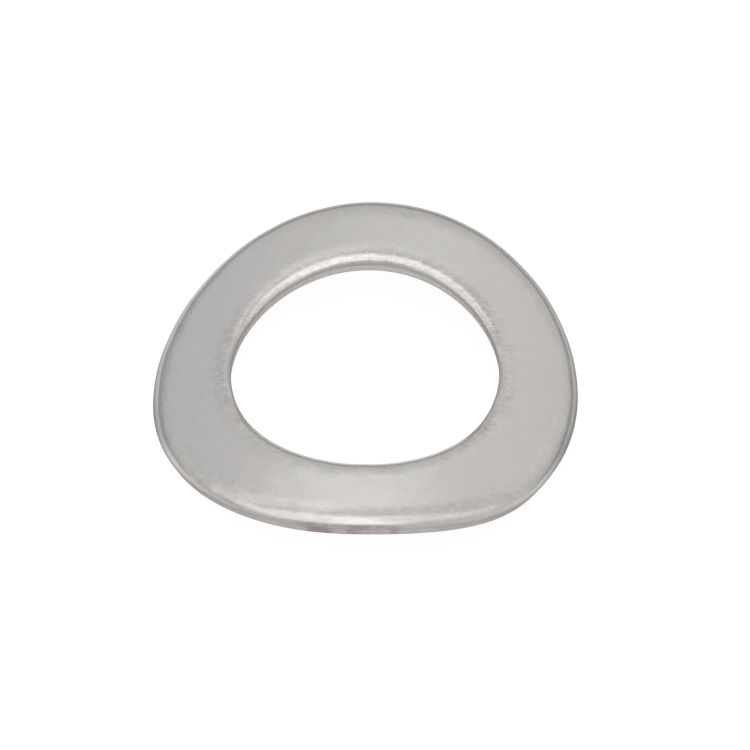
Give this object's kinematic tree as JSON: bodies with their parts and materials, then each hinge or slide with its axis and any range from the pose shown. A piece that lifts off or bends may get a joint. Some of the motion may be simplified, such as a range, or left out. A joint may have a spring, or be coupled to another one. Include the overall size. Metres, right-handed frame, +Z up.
{
  "type": "curved spring washer",
  "caption": "Ring punched from spring steel sheet and bent once round one axis, so that it springs between a screw head and the surface under it.",
  "frame": {"origin": "on the surface that the washer lies on, under the middle of the hole", "axes": "+Z up along the screw's axis, towards the crest; Y along the crest line, so that the two low sides lie at +X and -X"},
  "size_m": [0.017, 0.0176, 0.0027],
  "materials": {
    "steel": "pale tumbled stainless steel, satin, with brighter rolled edges"
  },
  "bodies": {
    "root": {"washer": "steel"}
  },
  "joints": []
}
